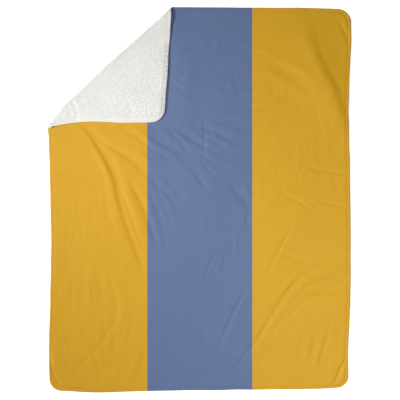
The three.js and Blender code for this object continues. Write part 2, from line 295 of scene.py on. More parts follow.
@dataclass(frozen=True)
class CreaseFan:
    """Faint creases that spread from one point, all in millimetres and degrees."""

    centre: tuple[float, float]
    headings: tuple[float, float]
    inner: tuple[float, float]
    length: tuple[float, float]
    count: int
    reach: tuple[float, float]
    height: float
    seed: int
    bend: float = 12.0

    def creases(self) -> list[Crease]:
        """Draw the creases: each starts somewhere on its heading and bends a little on its way.

        Returns:
            The creases.
        """
        rng = np.random.default_rng(self.seed)
        made = []
        for k in range(self.count):
            share = (k + rng.uniform(0.1, 0.9)) / self.count
            heading = math.radians(self.headings[0] + share * (self.headings[1] - self.headings[0]))
            start = rng.uniform(*self.inner)
            run = rng.uniform(*self.length)
            bend = math.radians(rng.uniform(-self.bend, self.bend))
            at = np.array(self.centre) + start * np.array((math.cos(heading), math.sin(heading)))
            line = [at]
            for part in (0.5, 1.5):
                turned = heading + part * bend
                line.append(line[-1] + run / 2 * np.array((math.cos(turned), math.sin(turned))))
            height = self.height * rng.uniform(0.45, 1.0) * rng.choice((-1.0, 1.0), p=(0.65, 0.35))
            points = tuple((float(x), float(y)) for x, y in line)
            made.append(Crease(points, rng.uniform(*self.reach), height))
        return made


CREASES = (
    # The long troughs that run down from the folded-over corner, and the rises between them.
    Crease(((-540, 350), (-475, 258), (-418, 172), (-378, 64), (-360, -24)), 13, -6.2, 0.5, 1.9),
    Crease(((-380, 40), (-361, -24), (-328, -152), (-288, -244), (-262, -330)), 12, -4.6, 0.5, 1.6),
    Crease(((-536, 334), (-450, 270), (-369, 217), (-300, 168), (-254, 124)), 11, -3.6, 0.4, 1.5),
    Crease(((-300, 168), (-240, 108), (-180, 50), (-124, -6), (-70, -50)), 11, -1.8, 0.4, 1.4),
    Crease(((-325, 85), (-277, -1), (-242, -94), (-205, -200)), 11, -5.6, 0.5, 1.6),
    Crease(((-358, 30), (-323, -71), (-281, -186), (-255, -240)), 9, -3.2, 0.5, 1.3),
    Crease(((-250, 180), (-161, 103), (-91, 10), (-40, -45)), 12, -2.0, 0.4, 1.5),
    Crease(((-235, 300), (-138, 244), (-59, 184)), 12, -2.0, 0.4, 1.4),
    Crease(((-360, 330), (-280, 285), (-205, 225), (-120, 190)), 12, -2.4, 0.4, 1.4),
    Crease(((-345, 250), (-262, 205), (-200, 140), (-120, 60)), 17, 2.6),
    Crease(((-500, 260), (-455, 180), (-415, 80), (-395, -20), (-360, -140)), 15, 3.4),
    Crease(((-440, 130), (-425, 10), (-385, -110), (-350, -210)), 13, 2.2),
    Crease(((-300, 330), (-230, 262), (-150, 215)), 17, 2.6),
    Crease(((-345, 60), (-310, -30), (-270, -130)), 13, 2.2),
    Crease(((-225, 30), (-190, -60), (-165, -150), (-160, -230)), 13, -2.0),
    Crease(((-190, 60), (-140, -30), (-110, -120)), 13, 1.8),
    # The drag from the top right corner, a ridge and the sharp trough beside it.
    Crease(((372, 684), (520, 545), (617, 392)), 60, 3.0, 0.0),
    Crease(
        ((485, 795), (496, 729), (535, 640), (587, 548), (631, 456), (662, 362), (686, 280)),
        88, 8.6, 0, 0.13,
    ),
    Crease(((507, 800), (520, 735), (555, 648), (603, 556), (646, 464), (676, 370)), 60, 3.4, 0),
    # The dip beside the folded-over corner, sharp at its top, and the rise to the right of it.
    Crease(((-116, 888), (-119, 862), (-126, 815), (-136, 760)), 9, -4.6, 0, 0.7),
    Crease(((-141, 720), (-142, 640), (-144, 564), (-150, 480), (-157, 410)), 9, -4.6, 0, 2.6),
    Crease(((-58, 690), (-50, 600), (-55, 500), (-75, 400)), 42, 3.6, 0),
    Crease(((650, 822), (676, 775), (691, 720)), 10, -2.8, 0.1),
    Crease(((330, 640), (400, 600), (470, 570)), 24, -1.8),
    Crease(((260, 700), (350, 650), (450, 610), (540, 540)), 22, 1.5),
    Crease(((300, 590), (400, 545), (500, 470)), 26, 1.6),
    # The lines across the lower right.
    Crease(((603, -298), (520, -316), (450, -372), (385, -450), (330, -543), (265, -654)), 9, -1.7, 0.4, 1.3),
    Crease(((330, -543), (265, -654), (191, -746), (130, -820)), 10, -1.8, 0.4, 1.3),
    Crease(((600, -330), (500, -365), (420, -450), (350, -560), (280, -670)), 16, 1.3),
    Crease(((485, -300), (400, -400), (310, -510)), 14, 1.4),
    Crease(((696, -352), (612, -358), (520, -388), (470, -424)), 7.5, -3.4, 0.2),
    Crease(((690, -330), (612, -325), (540, -345)), 15, 2.2),
    Crease(((694, -428), (580, -438), (464, -456)), 6.5, -3.8, 0.1),
    Crease(((233, -390), (172, -483), (117, -613), (80, -702)), 10, -2.3, 0.5),
    Crease(((427, -122), (382, -210), (316, -335)), 9, -2.1, 0.5),
    Crease(((71, -242), (45, -300), (24, -358)), 9, -2.0, 0.5),
    Crease(((120, -225), (95, -290), (75, -345)), 9, 1.8),
    Crease(((543, -626), (520, -700), (497, -765)), 11, -0.9),
    Crease(((580, -600), (560, -690), (535, -770)), 12, 1.2),
    Crease(((600, -560), (590, -660), (560, -760)), 10, -1.1),
    Crease(((686, -740), (658, -805), (628, -862)), 8, -4.0, 0.1),
    # The right side at mid height.
    Crease(((487, 159), (543, 135), (620, 129), (694, 120)), 7, -2.9, 0.2),
    Crease(((480, 158), (463, 125), (448, 96)), 7, -1.2, 0.5),
    Crease(((372, 34), (440, 2), (524, -52)), 7, -2.0, 0.3),
    Crease(((520, -58), (538, -26), (556, 2)), 7, -1.1, 0.5),
    Crease(((548, 0), (610, -18), (694, -45)), 7, -2.2, 0.2),
    Crease(((388, 84), (380, 50), (374, 20)), 7, -1.0, 0.5),
    # The lower left.
    Crease(((-592, -350), (-597, -430), (-592, -520)), 10, -1.6),
    Crease(((-425, -350), (-395, -430), (-383, -500), (-392, -570)), 12, -1.6),
    Crease(((-392, -545), (-425, -625), (-490, -710), (-575, -785)), 13, -1.5),
    Crease(((-395, -360), (-352, -460), (-362, -570), (-430, -680)), 15, 1.0),
    Crease(((-480, -300), (-470, -400), (-440, -500)), 11, -1.2),
    Crease(((-520, -320), (-515, -420), (-500, -500)), 12, 1.4),
    Crease(((-696, -690), (-686, -790), (-655, -866)), 8, -4.6, 0.1),
    Crease(((-692, -740), (-682, -810), (-656, -866), (-600, -873), (-540, -878)), 6.5, -4.5, 0.0),
    Crease(((-640, -700), (-620, -760), (-560, -820)), 14, -1.6),
    # The sharp marks that storage left, along and across.
    Crease(((-690, 112), (-580, 106), (-462, 98)), 6.5, -3.2, 0.0),
    Crease(((20, 415), (24, 300), (20, 184)), 7, -2.0, 0.0),
    Crease(((20, -80), (22, -140)), 6, 1.5, 0.0),
    Crease(((20, -580), (22, -700), (20, -867)), 6, -1.2, 0.0),
    Crease(((168, -140), (170, -279)), 6, 1.5, 0.0),
    Crease(((24, 425), (200, 418), (380, 424), (520, 410)), 7, -1.2, 0.2),
    Crease(((-128, 693), (20, 698), (186, 693)), 7, -0.9, 0.2),
    Crease(((-22, 161), (50, 168), (117, 161)), 7, -1.5, 0.2),
    Crease(((133, 78), (193, 8), (238, -42)), 14, -3.6, 0.2, 2.2),
    Crease(((226, -46), (214, -130)), 10, -2.6, 0.35, 2.0),
    Crease(((212, 60), (232, 5)), 13, 2.0),
)
# The folded-over corner's own creases, on the cut.
FLAP_CREASES = (
    Crease(((-572, 452), (-600, 470), (-640, 487), (-690, 488)), 8, -3.2, 0.3),
    Crease(((-622, 418), (-645, 428), (-680, 440)), 10, 2.6, 0.0),
    Crease(((-618, 404), (-642, 396), (-676, 380)), 7, -2.0, 0.3),
    Crease(((-640, 690), (-662, 700), (-687, 704)), 7, -1.0, 0.4),
    Crease(((-615, 735), (-636, 748), (-660, 768)), 7, -0.8, 0.4),
    Crease(((-605, 620), (-622, 634), (-645, 652)), 8, -0.8, 0.4),
    Crease(((-329, 709), (-331, 790), (-336, 872)), 6, -0.7, 0.3),
    Crease(((-480, 800), (-520, 770), (-560, 760)), 10, -0.7, 0.4),
)
FANS = (
    # Fine wrinkles that leave the folded-over corner, and the slack above and below them.
    CreaseFan((-170, 385), (-64, -4), (20, 330), (90, 190), 50, (8, 13), 1.25, 5),
    CreaseFan((-210, 600), (-52, -16), (70, 130), (60, 130), 14, (8, 12), 1.0, 7),
    CreaseFan((-1000, 440), (-5, 4), (950, 1350), (70, 190), 22, (8, 12), 0.8, 13),
    CreaseFan((-480, 560), (-64, -30), (300, 560), (110, 240), 26, (9, 14), 0.9, 11),
    CreaseFan((60, 800), (-150, -20), (20, 420), (60, 150), 30, (8, 13), 0.8, 18),
    CreaseFan((-900, 640), (-12, 12), (800, 1130), (50, 150), 26, (7, 11), 0.8, 19),
    CreaseFan((-90, -1240), (74, 104), (360, 430), (40, 90), 9, (7, 10), 1.2, 43),
    CreaseFan((-560, 900), (-98, -80), (760, 1300), (90, 220), 26, (9, 15), 1.0, 23),
    CreaseFan((760, -330), (160, 215), (80, 620), (110, 260), 24, (9, 15), 1.3, 29),
    CreaseFan((420, 1000), (-100, -74), (420, 900), (80, 190), 24, (9, 15), 0.6, 31),
    CreaseFan((480, -1200), (72, 108), (350, 640), (80, 170), 26, (9, 14), 0.6, 37),
    CreaseFan((-420, -1250), (70, 112), (370, 640), (70, 170), 26, (9, 14), 1.0, 41),
)


@dataclass(frozen=True)
class Relief:
    """How far the throw's face rises and falls where it lies: swells, creases and unevenness."""

    swell: float = 1.3 * MM
    slack: float = 0.45 * MM
    wander: float = 2.2 * MM
    firm: float = 3.4 * MM
    give: float = 0.9 * MM

    def lift(self, u: Array, v: Array, edge: Array) -> Array:
        """Work out the relief.

        The creases are drawn on places that a smooth unevenness has shifted by a few millimetres,
        so that no line is drawn with a ruler. Two scales of waves lie under them. Near the hem a
        trough keeps only part of its depth. What lies deeper than firm is pressed against the pile:
        that excess e shrinks to give · (1 - exp(-e / give)).

        Args:
            u, v: Places on the cut.
            edge: Distance of each place from the nearest edge.

        Returns:
            The rise of the face above its plain level.
        """
        wu = u + self.wander * ripple(u, v, 150 * MM, Seed.WANDER_U)
        wv = v + self.wander * ripple(u, v, 140 * MM, Seed.WANDER_V)
        relief = np.zeros(u.shape)
        for crease in CREASES + tuple(c for fan in FANS for c in fan.creases()):
            crease.add_to(relief, wu, wv)
        relief += self.swell * ripple(u, v, 420 * MM, Seed.SWELL)
        relief += self.slack * ripple(u, v, 95 * MM, Seed.SLACK)
        kept = 0.6 + 0.4 * smooth(edge / (24 * MM))
        relief = np.where(relief < 0, relief * kept, relief)
        excess = np.maximum(-relief - self.firm, 0)
        return np.where(excess > 0, -self.firm - self.give * (1 - np.exp(-excess / self.give)), relief)


@dataclass(frozen=True)
class Hem:
    """The turned edge: the face rolls down to the seam, and a topstitch pulls it in behind the roll."""

    roll: float = 9 * MM
    drop: float = 3.8 * MM
    stitch: float = 13 * MM
    groove: float = 1.2 * MM
    groove_reach: float = 2.9 * MM
    corner_pucker: float = 1.3 * MM
    puff: float = 0.5 * MM
    pile_roll: float = 7 * MM
    pile_rise: float = 1.4 * MM

    def face(self, edge: Array, corner: Array) -> Array:
        """Height of the print relative to its plain level.

        A quarter ellipse of the roll's width takes it down by drop at the edge. A bell-shaped
        groove follows the stitch line, deeper at the corners, and the cloth beside it stands up.

        Args:
            edge: Distance from the edge.
            corner: 1 at a corner of the throw, 0 away from it.

        Returns:
            The change of height.
        """
        inside = np.clip(1 - edge / self.roll, 0, 1)
        down = self.drop * (1 - np.sqrt(1 - inside**2))
        groove = (self.groove + self.corner_pucker * corner) * bell(edge - self.stitch, self.groove_reach)
        behind = bell(edge - 2.1 * self.stitch, 10 * MM)
        before = bell(edge - 0.5 * self.stitch, 3.5 * MM)
        return self.puff * (behind + before) - down - groove

    def pile(self, edge: Array) -> Array:
        """Rise of the pile's surface towards the seam, a quarter ellipse of pile_roll's width."""
        inside = np.clip(1 - edge / self.pile_roll, 0, 1)
        return self.pile_rise * (1 - np.sqrt(1 - inside**2))


@dataclass(frozen=True)
class EdgeDraw:
    """A stretch of an edge that the slack has drawn inwards, in millimetres."""

    side: tuple[int, int]
    at: float
    reach: float
    depth: float


@dataclass(frozen=True)
class CornerFold:
    """The mapping that lays the flat cut down with its top left corner folded over the face.

    The elbow (its place, reach and push), the waves (place along the edge, reach and depth) and the
    draws are in millimetres.
    """

    pattern: Pattern = field(default_factory=Pattern)
    start: tuple[float, float] = (-133 * MM, 890 * MM)
    end: tuple[float, float] = (-700 * MM, 337 * MM)
    bow: float = 18.5 * MM
    bow_skew: float = 1.45
    face_thickness: float = 1.5 * MM
    pile_thickness: float = 6.0 * MM
    half_gap: float = 0.15 * MM
    roll_radius: float = 5.65 * MM
    top_slack: float = 4.6 * MM
    clearance: float = 1.6 * MM
    settle_reach: float = 85 * MM
    slide: float = 10.5 * MM
    tip_skew: float = 7 * MM
    tip_reach: float = 190 * MM
    elbow: tuple[float, float, float, float] = (-622, 430, 66, 10.0)
    rim_droop: float = 1.8 * MM
    droop_reach: float = 14 * MM
    wave_rise: float = 20 * MM
    wave_fade: float = 120 * MM
    side_waves: Waves = ((862, 32, 4.6), (690, 42, -2.0), (560, 70, 2.2), (420, 45, 2.4))
    foot_waves: Waves = ((-510, 60, 4.5), (-350, 65, -4.5))
    loose: float = 0.7 * MM
    loose_reach: float = 30 * MM
    draws: tuple[EdgeDraw, ...] = (
        EdgeDraw((0, 1), 700, 160, 7),
        EdgeDraw((0, 1), -20, 170, -2.4),
        EdgeDraw((-1, 0), 342, 36, -6.0),
        EdgeDraw((-1, 0), 120, 120, 2),
        EdgeDraw((-1, 0), -200, 260, 11),
        EdgeDraw((-1, 0), -480, 110, 3.2),
        EdgeDraw((-1, 0), -830, 60, 3.5),
        EdgeDraw((1, 0), 740, 90, -3),
        EdgeDraw((1, 0), 400, 220, 10),
        EdgeDraw((1, 0), 20, 110, 2.3),
        EdgeDraw((1, 0), -760, 220, 13.5),
        EdgeDraw((0, -1), 700, 900, 12.5),
        EdgeDraw((0, -1), 700, 110, 8),
        EdgeDraw((0, -1), -460, 150, -5.5),
        EdgeDraw((0, -1), -640, 75, 5),
    )

    @property
    def seam_height(self) -> float:
        """Height of the seam between the two cloths where the throw lies."""
        return self.half_gap + self.pile_thickness

    def axes(self) -> tuple[Array, Array, float]:
        """Work out the fold's directions.

        Returns:
            Unit vectors along the fold and across it into the throw, and the fold's length.
        """
        run = np.array(self.end) - np.array(self.start)
        span = float(np.linalg.norm(run))
        along = run / span
        return along, np.array((-along[1], along[0])), span

    def coordinates(self, u: Array, v: Array) -> tuple[Array, Array]:
        """Measure places from the fold's start.

        Args:
            u, v: Places on the cut.

        Returns:
            Place along the fold's line and distance from it into the throw.
        """
        along, across, _ = self.axes()
        du, dv = u - self.start[0], v - self.start[1]
        return du * along[0] + dv * along[1], du * across[0] + dv * across[1]

    def share(self, along: Array) -> Array:
        """Place along the fold as a share of its length, held between 0 and 1."""
        return np.clip(along / self.axes()[2], 0, 1)

    def radius(self, along: Array) -> Array:
        """Middle radius of the roll, a little larger at its slack top end."""
        return self.roll_radius + self.top_slack * bell(self.share(along), 0.09)

    def axis(self, along: Array) -> Array:
        """Distance of the roll's axis inside the fold's line, which bows outwards between its ends."""
        bow = self.bow * np.sin(math.pi * self.share(along) ** self.bow_skew)
        return self.radius(along) + self.seam_height - bow

    def beyond(self, u: Array, v: Array) -> Array:
        """How far past the start of the roll each place of the cut is, below zero where it lies flat."""
        along, across = self.coordinates(u, v)
        return self.axis(along) - across

    def start_line(self) -> tuple[Array, Array]:
        """Find where the roll starts, from the left edge upwards to the top edge.

        Returns:
            The places u and v on the cut.
        """
        along, across, span = self.axes()
        t = np.linspace(span + 60 * MM, -60 * MM, 4000)
        s = self.axis(t)
        return tuple(self.start[k] + t * along[k] + s * across[k] for k in (0, 1))

    def place(self, u: Array, v: Array, offset: Array, flap: Array) -> Array:
        """Lay places of the cut down.

        Where the cloth lies it keeps its place at the seam's height plus offset. Past the roll's
        start it follows a half circle round the axis, of the middle radius less offset. Past the
        roll it runs back over the face, upside down, and settles onto it over settle_reach, its rim
        a further rim_droop down.

        Args:
            u, v: Places on the cut.
            offset: Height of the surface over the seam, relief included.
            flap: Rise of the folded-over corner above its settled height.

        Returns:
            Points x, y, z in the last axis.
        """
        (along_x, along_y), (across_x, across_y), _ = self.axes()
        along, across = self.coordinates(u, v)
        radius, axis = self.radius(along), self.axis(along)
        beyond = axis - across
        angle = np.clip(beyond / radius, 0, math.pi)
        rolled = beyond > 0
        round_axis = radius - offset
        plan = np.where(rolled, axis - round_axis * np.sin(angle), across)
        curled = radius + self.seam_height - round_axis * np.cos(angle)
        height = np.where(rolled, curled, self.seam_height + offset)
        past = np.maximum(beyond - math.pi * radius, 0)
        settled = smooth(past / self.settle_reach)
        edge = np.maximum(self.pattern.edge_distance(u, v), 0)
        settle = 2 * radius - 2 * (self.half_gap + self.face_thickness) - self.clearance
        settle = settle + self.rim_droop * bell(edge, self.droop_reach)
        height = height + settled * (flap - settle)
        plan = plan + past
        along = along - self.tip_shift(along, angle, past)
        x = self.start[0] + along * along_x + plan * across_x
        y = self.start[1] + along * along_y + plan * across_y + settled * self.slide
        side, foot = self.rim_shift(x, y)
        free = smooth(past / self.wave_rise)
        x, y = x + side * free, y + foot * free
        push = self.elbow_shift(x, y)
        x, y = x - push * across_x, y - push * across_y
        return np.stack((*self.drawn_in(x, y), height), -1)

    def rim_shift(self, x: Array, y: Array) -> tuple[Array, Array]:
        """Waves of the corner's two free edges: bells along them that fade out inside them.

        Args:
            x, y: Places in plan.

        Returns:
            The shift in x of the side edge and in y of the foot edge.
        """
        side = sum(depth * MM * bell(y - at * MM, reach * MM) for at, reach, depth in self.side_waves)
        foot = sum(depth * MM * bell(x - at * MM, reach * MM) for at, reach, depth in self.foot_waves)
        near_side = smooth((x + 260 * MM) / self.wave_fade)
        return side * near_side, foot * smooth((480 * MM - y) / self.wave_fade)

    def elbow_shift(self, x: Array, y: Array) -> Array:
        """How far the fold is pushed outwards where it bends near its left tip, a bell in plan."""
        at_x, at_y, reach, push = (value * MM for value in self.elbow)
        return push * bell(np.hypot(x - at_x, y - at_y), reach)

    def tip_shift(self, along: Array, angle: Array, past: Array) -> Array:
        """How far the upper half of the roll is dragged back along the fold at its left tip."""
        # Smooth steps along the last tip_reach of the fold and up the roll, and a bell past it.
        at_tip = smooth((along - self.axes()[2] + self.tip_reach) / self.tip_reach)
        return self.tip_skew * at_tip * smooth(angle / math.pi) * bell(past, 80 * MM)

    def drawn_in(self, x: Array, y: Array) -> tuple[Array, Array]:
        """Shift places inwards at the drawn edges: a bell along the edge, the sixth power across.

        Args:
            x, y: Places in plan.

        Returns:
            The shifted places, which also waver a little at the loose edge.
        """
        places, halves = (x, y), (self.pattern.width / 2, self.pattern.length / 2)
        shift = [np.zeros(np.shape(x)), np.zeros(np.shape(y))]
        for draw in self.draws:
            k = 0 if draw.side[0] else 1
            reach = np.clip(draw.side[k] * places[k] / halves[k], 0, 1.05) ** 6
            along = bell(places[1 - k] - draw.at * MM, draw.reach * MM)
            shift[k] -= draw.side[k] * draw.depth * MM * reach * along
        edge = self.pattern.edge_distance(np.asarray(x), np.asarray(y))
        loose = self.loose * np.exp(-np.maximum(edge, 0) / self.loose_reach)
        shift[0] += loose * ripple(x, y, 150 * MM, Seed.EDGE_X)
        shift[1] += loose * ripple(x, y, 160 * MM, Seed.EDGE_Y)
        return x + shift[0], y + shift[1]


@dataclass(frozen=True)
class LaidThrow:
    """The throw as it lies: the fold, the relief and the hem together, for each layer of cloth."""

    fold: CornerFold = field(default_factory=CornerFold)
    relief: Relief = field(default_factory=Relief)
    hem: Hem = field(default_factory=Hem)
    pile_base: float = 1.7 * MM
    pile_fade: float = 12 * MM
    relief_fade: float = 45 * MM
    flap_fade: float = 24 * MM

    @property
    def pattern(self) -> Pattern:
        """The cut of both cloths."""
        return self.fold.pattern

    def print_offset(self, u: Array, v: Array) -> Array:
        """Height of the print over the seam, with its relief where the throw lies.

        Args:
            u, v: Places on the cut.

        Returns:
            The heights.
        """
        edge = self.pattern.edge_distance(u, v)
        plain = self.fold.half_gap + self.fold.face_thickness
        lying = smooth(-self.fold.beyond(u, v) / self.relief_fade)
        lift = self.relief.lift(u, v, edge) * lying
        return plain + lift + self.hem.face(edge, self.pattern.corner_share(u, v))

    def pile_offset(self, u: Array, v: Array) -> Array:
        """Height of the backing's own surface under its curls, thinner where the pile stands free.

        Args:
            u, v: Places on the cut.

        Returns:
            The heights.
        """
        edge = self.pattern.edge_distance(u, v)
        free = smooth(self.fold.beyond(u, v) / self.pile_fade)
        return -self.fold.seam_height + self.hem.pile(edge) + self.pile_base * free

    def flap_rise(self, u: Array, v: Array) -> Array:
        """Unevenness of the folded-over corner: two long waves, a puff at its left tip and a ripple.

        Args:
            u, v: Places on the cut.

        Returns:
            The rise at each place.
        """
        x, y = u / MM, v / MM
        waves = 0.8 * (1 + np.sin(0.031 * x + 0.017 * y + 0.4))
        waves += 0.6 * (1 + np.sin(-0.019 * x + 0.037 * y + 2.1))
        puff = 3.2 * bell(np.hypot(x + 600, y - 395), 45)
        return (waves + puff + 0.5 * (1 + ripple(u, v, 70 * MM, Seed.FLAP))) * MM

    def flap_folds(self, u: Array, v: Array) -> Array:
        """Rise of the small creases of the folded-over corner, which start past the roll.

        Args:
            u, v: Places on the cut.

        Returns:
            The rise at each place.
        """
        relief = np.zeros(np.shape(u))
        for crease in FLAP_CREASES:
            crease.add_to(relief, u, v)
        return relief * smooth(self.fold.beyond(u, v) / self.flap_fade)

    def roll_shade_and_rim_patches(self, u: Array, v: Array) -> Array:
        """Painted shade on the pile, from 0 to 1, over the outer side of the roll, and darker patches at the
        rim.

        The roll's share is a low bell over its outer side, which faces the key light. The rim's share is
        darker patches along the free rim at the top.

        Args:
            u, v: Places on the cut.

        Returns:
            The share at each place.
        """
        # Painted shade: darkens the roll's outer side, which the key light faces.
        roll = bell(self.fold.beyond(u, v) - 12 * MM, 11 * MM)
        rim = smooth((v - 862 * MM) / (18 * MM)) * smooth((-u - 290 * MM) / (60 * MM))
        patches = np.clip(0.65 + 0.5 * ripple(u, v, 17 * MM, Seed.PATCHES), 0, 1)
        return np.maximum(0.4 * roll, rim * patches)

    def place(self, u: Array, v: Array, offset: Array) -> Array:
        """Lay places of the cut down at an offset over the seam, with the flap's unevenness."""
        return self.fold.place(u, v, offset - self.flap_folds(u, v), self.flap_rise(u, v))

    def frame_at(
        self, u: Array, v: Array, offset: Array, outward: float
    ) -> tuple[Array, Array, Array, Array]:
        """Points on a surface with their tangent, the second tangent and the outward normal.

        The directions are differences over a millimetre along u and across the layers.

        Args:
            u, v: Places on the cut.
            offset: Height of the surface over the seam.
            outward: 1 for the print's side, -1 for the pile's.

        Returns:
            Points, tangents, second tangents and normals.
        """
        at = self.place(u, v, offset)
        normal = unit(self.place(u, v, offset + outward * MM) - at)
        tangent = square_to(self.place(u + MM, v, offset) - at, normal)
        return at, tangent, np.cross(normal, tangent), normal


@dataclass
class ClothGrid:
    """Places of the cut on two patches: the lying part, and the corner past the roll's start.

    The first patch has rows of equal v from the fold's start line, or the left edge below it, to
    the right edge. The second has one row of places for each of those rows, straight across the
    fold to the cut edge. Both are dense along the cut's edges, where the hem is.
    """

    fold: CornerFold
    lower_rows: int = 200
    upper_rows: int = 104
    columns: int = 240
    roll_steps: int = 12
    flap_steps: int = 72
    hem_lines: tuple[float, ...] = (0, 1.2, 3.2, 6, 9.5, 13, 16.5, 21, 28)

    @staticmethod
    def spread(length: Array, count: int, first: Array, last: Array, scale: Array) -> Array:
        """Spread count + 1 places over each length: first, even steps, and last counted backwards.

        Args:
            length: The lengths, in a column.
            count: The number of steps.
            first, last: Places from the two ends, starting with 0.
            scale: Shrinks first and last where a length is too short for them.

        Returns:
            One row of places for each length.
        """
        inner = count + 1 - len(first) - len(last)
        start, stop = first[-1] * scale, length - last[-1] * scale
        middle = start + (stop - start) * (np.arange(1, inner + 1) / (inner + 1))
        return np.concatenate((first * scale, middle, length - last[::-1] * scale), 1)

    def graded(self, length: Array, count: int, low: bool, high: bool) -> Array:
        """Spread places over lengths, dense at the cut ends and even between.

        Args:
            length: The lengths, one for each row.
            count: The number of steps.
            low, high: Whether the first and the last end have the hem's lines.

        Returns:
            One row of count + 1 places for each length.
        """
        length = np.asarray(length, float)[:, None]
        lines = np.array(self.hem_lines) * MM
        first, last = (lines if low else lines[:1]), (lines if high else lines[:1])
        scale = np.minimum(1.0, 0.9 * length / (first[-1] + last[-1] + 4 * MM))
        return self.spread(length, count, first, last, scale)

    def lying(self) -> tuple[Array, Array]:
        """Places of the lying part, in rows from the bottom edge to the top edge.

        Returns:
            The places u and v.
        """
        pattern = self.fold.pattern
        line_u, line_v = self.fold.start_line()
        split = float(np.interp(-pattern.width / 2, line_u, line_v))
        half = pattern.length / 2
        low = self.graded([split + half], self.lower_rows, True, False)[0] - half
        high = self.graded([half - split], self.upper_rows, False, True)[0] + split
        v = np.concatenate((low, high[1:]))
        right = pattern.half_chord(v)
        left = np.where(v > split, np.interp(v, line_v, line_u), -right)
        u = left[:, None] + self.graded(right - left, self.columns, True, True)
        return u, np.broadcast_to(v[:, None], u.shape)

    def folded(self, start_u: Array, start_v: Array) -> tuple[Array, Array]:
        """Places of the folded-over corner, in rows from the roll's start to the cut edge.

        The distance to the edge along each row is found by halving an interval forty times.

        Args:
            start_u, start_v: Where each row starts on the cut.

        Returns:
            The places u and v, one row for each start.
        """
        _, (across_u, across_v), _ = self.fold.axes()
        near, far = np.zeros(start_u.shape), np.full(start_u.shape, 0.6)
        for _ in range(40):
            middle = (near + far) / 2
            tried = (start_u - middle * across_u, start_v - middle * across_v)
            inside = self.fold.pattern.edge_distance(*tried) > 0
            near, far = np.where(inside, middle, near), np.where(inside, far, middle)
        near[0] = near[-1] = 0.0
        length = near[:, None]
        first = math.pi * self.fold.roll_radius * np.arange(self.roll_steps + 1) / self.roll_steps
        last = np.array(self.hem_lines) * MM * math.sqrt(2)
        scale = np.minimum(1.0, length / (first[-1] + last[-1] + 12 * MM))
        run = self.spread(length, self.flap_steps, first, last, scale)
        return start_u[:, None] - run * across_u, start_v[:, None] - run * across_v

    def numbering(self, every: int) -> tuple[Array, Array, int]:
        """Number the grid's vertices at a coarseness, with the two patches joined along the roll.

        Args:
            every: Keeps each second, fourth and so on row and column.

        Returns:
            Vertex numbers of the lying patch, of the folded patch, and how many there are.
        """
        rows = (self.lower_rows + self.upper_rows) // every + 1
        columns = self.columns // every + 1
        split = self.lower_rows // every
        lying = np.arange(rows * columns).reshape(rows, columns)
        folded = np.zeros((rows - split, self.flap_steps // every + 1), int)
        inner = folded[1:-1, 1:]
        folded[1:-1, 1:] = rows * columns + np.arange(inner.size).reshape(inner.shape)
        folded[:, 0] = lying[split:, 0]
        folded[0, :] = lying[split, 0]
        folded[-1, :] = lying[-1, 0]
        return lying, folded, rows * columns + inner.size

    def triangles(self, every: int) -> Array:
        """Triangles of one side of the cloth, facing the print's side, without flat ones.

        Args:
            every: The coarseness.

        Returns:
            Vertex numbers, three in a row.
        """
        lying, folded, _ = self.numbering(every)
        parts = []
        for grid in (lying, folded.T):
            a, b, c, d = grid[:-1, :-1], grid[:-1, 1:], grid[1:, 1:], grid[1:, :-1]
            parts += [np.stack((a, b, c), -1).reshape(-1, 3), np.stack((a, c, d), -1).reshape(-1, 3)]
        made = np.concatenate(parts)
        flat = (made == np.roll(made, 1, 1)).any(1)
        return made[~flat]

    def outline(self, every: int) -> Array:
        """Vertex numbers round the cut, counterclockwise, each once.

        Args:
            every: The coarseness.

        Returns:
            The vertex numbers.
        """
        lying, folded, _ = self.numbering(every)
        left = lying[self.lower_rows // every : 0 : -1, 0]
        sides = (lying[0, :-1], lying[:-1, -1], lying[-1, :0:-1], folded[:0:-1, -1], left)
        return np.concatenate(sides)

    def flatten(self, lying: Array, folded: Array, every: int) -> Array:
        """Gather one value for each vertex from the two patches' full grids.

        Args:
            lying, folded: Values on the two patches.
            every: The coarseness.

        Returns:
            The values in the order of the vertices.
        """
        one, two, count = self.numbering(every)
        values = np.zeros((count, *lying.shape[2:]))
        values[two] = folded[::every, ::every]
        values[one] = lying[::every, ::every]
        return values

    @staticmethod
    def lowest(grid: Array, every: int) -> Array:
        """Find the lowest value round each place of a grid.

        Args:
            grid: Values in rows and columns.
            every: How many rows and columns to look on each side.

        Returns:
            The lowest values, in the grid's shape.
        """
        for axis in (0, 1):
            padded = np.pad(grid, [(every, every) if k == axis else (0, 0) for k in (0, 1)], mode="edge")
            count = grid.shape[axis]
            views = [np.take(padded, range(k, k + count), axis) for k in range(2 * every + 1)]
            grid = np.minimum.reduce(views)
        return grid


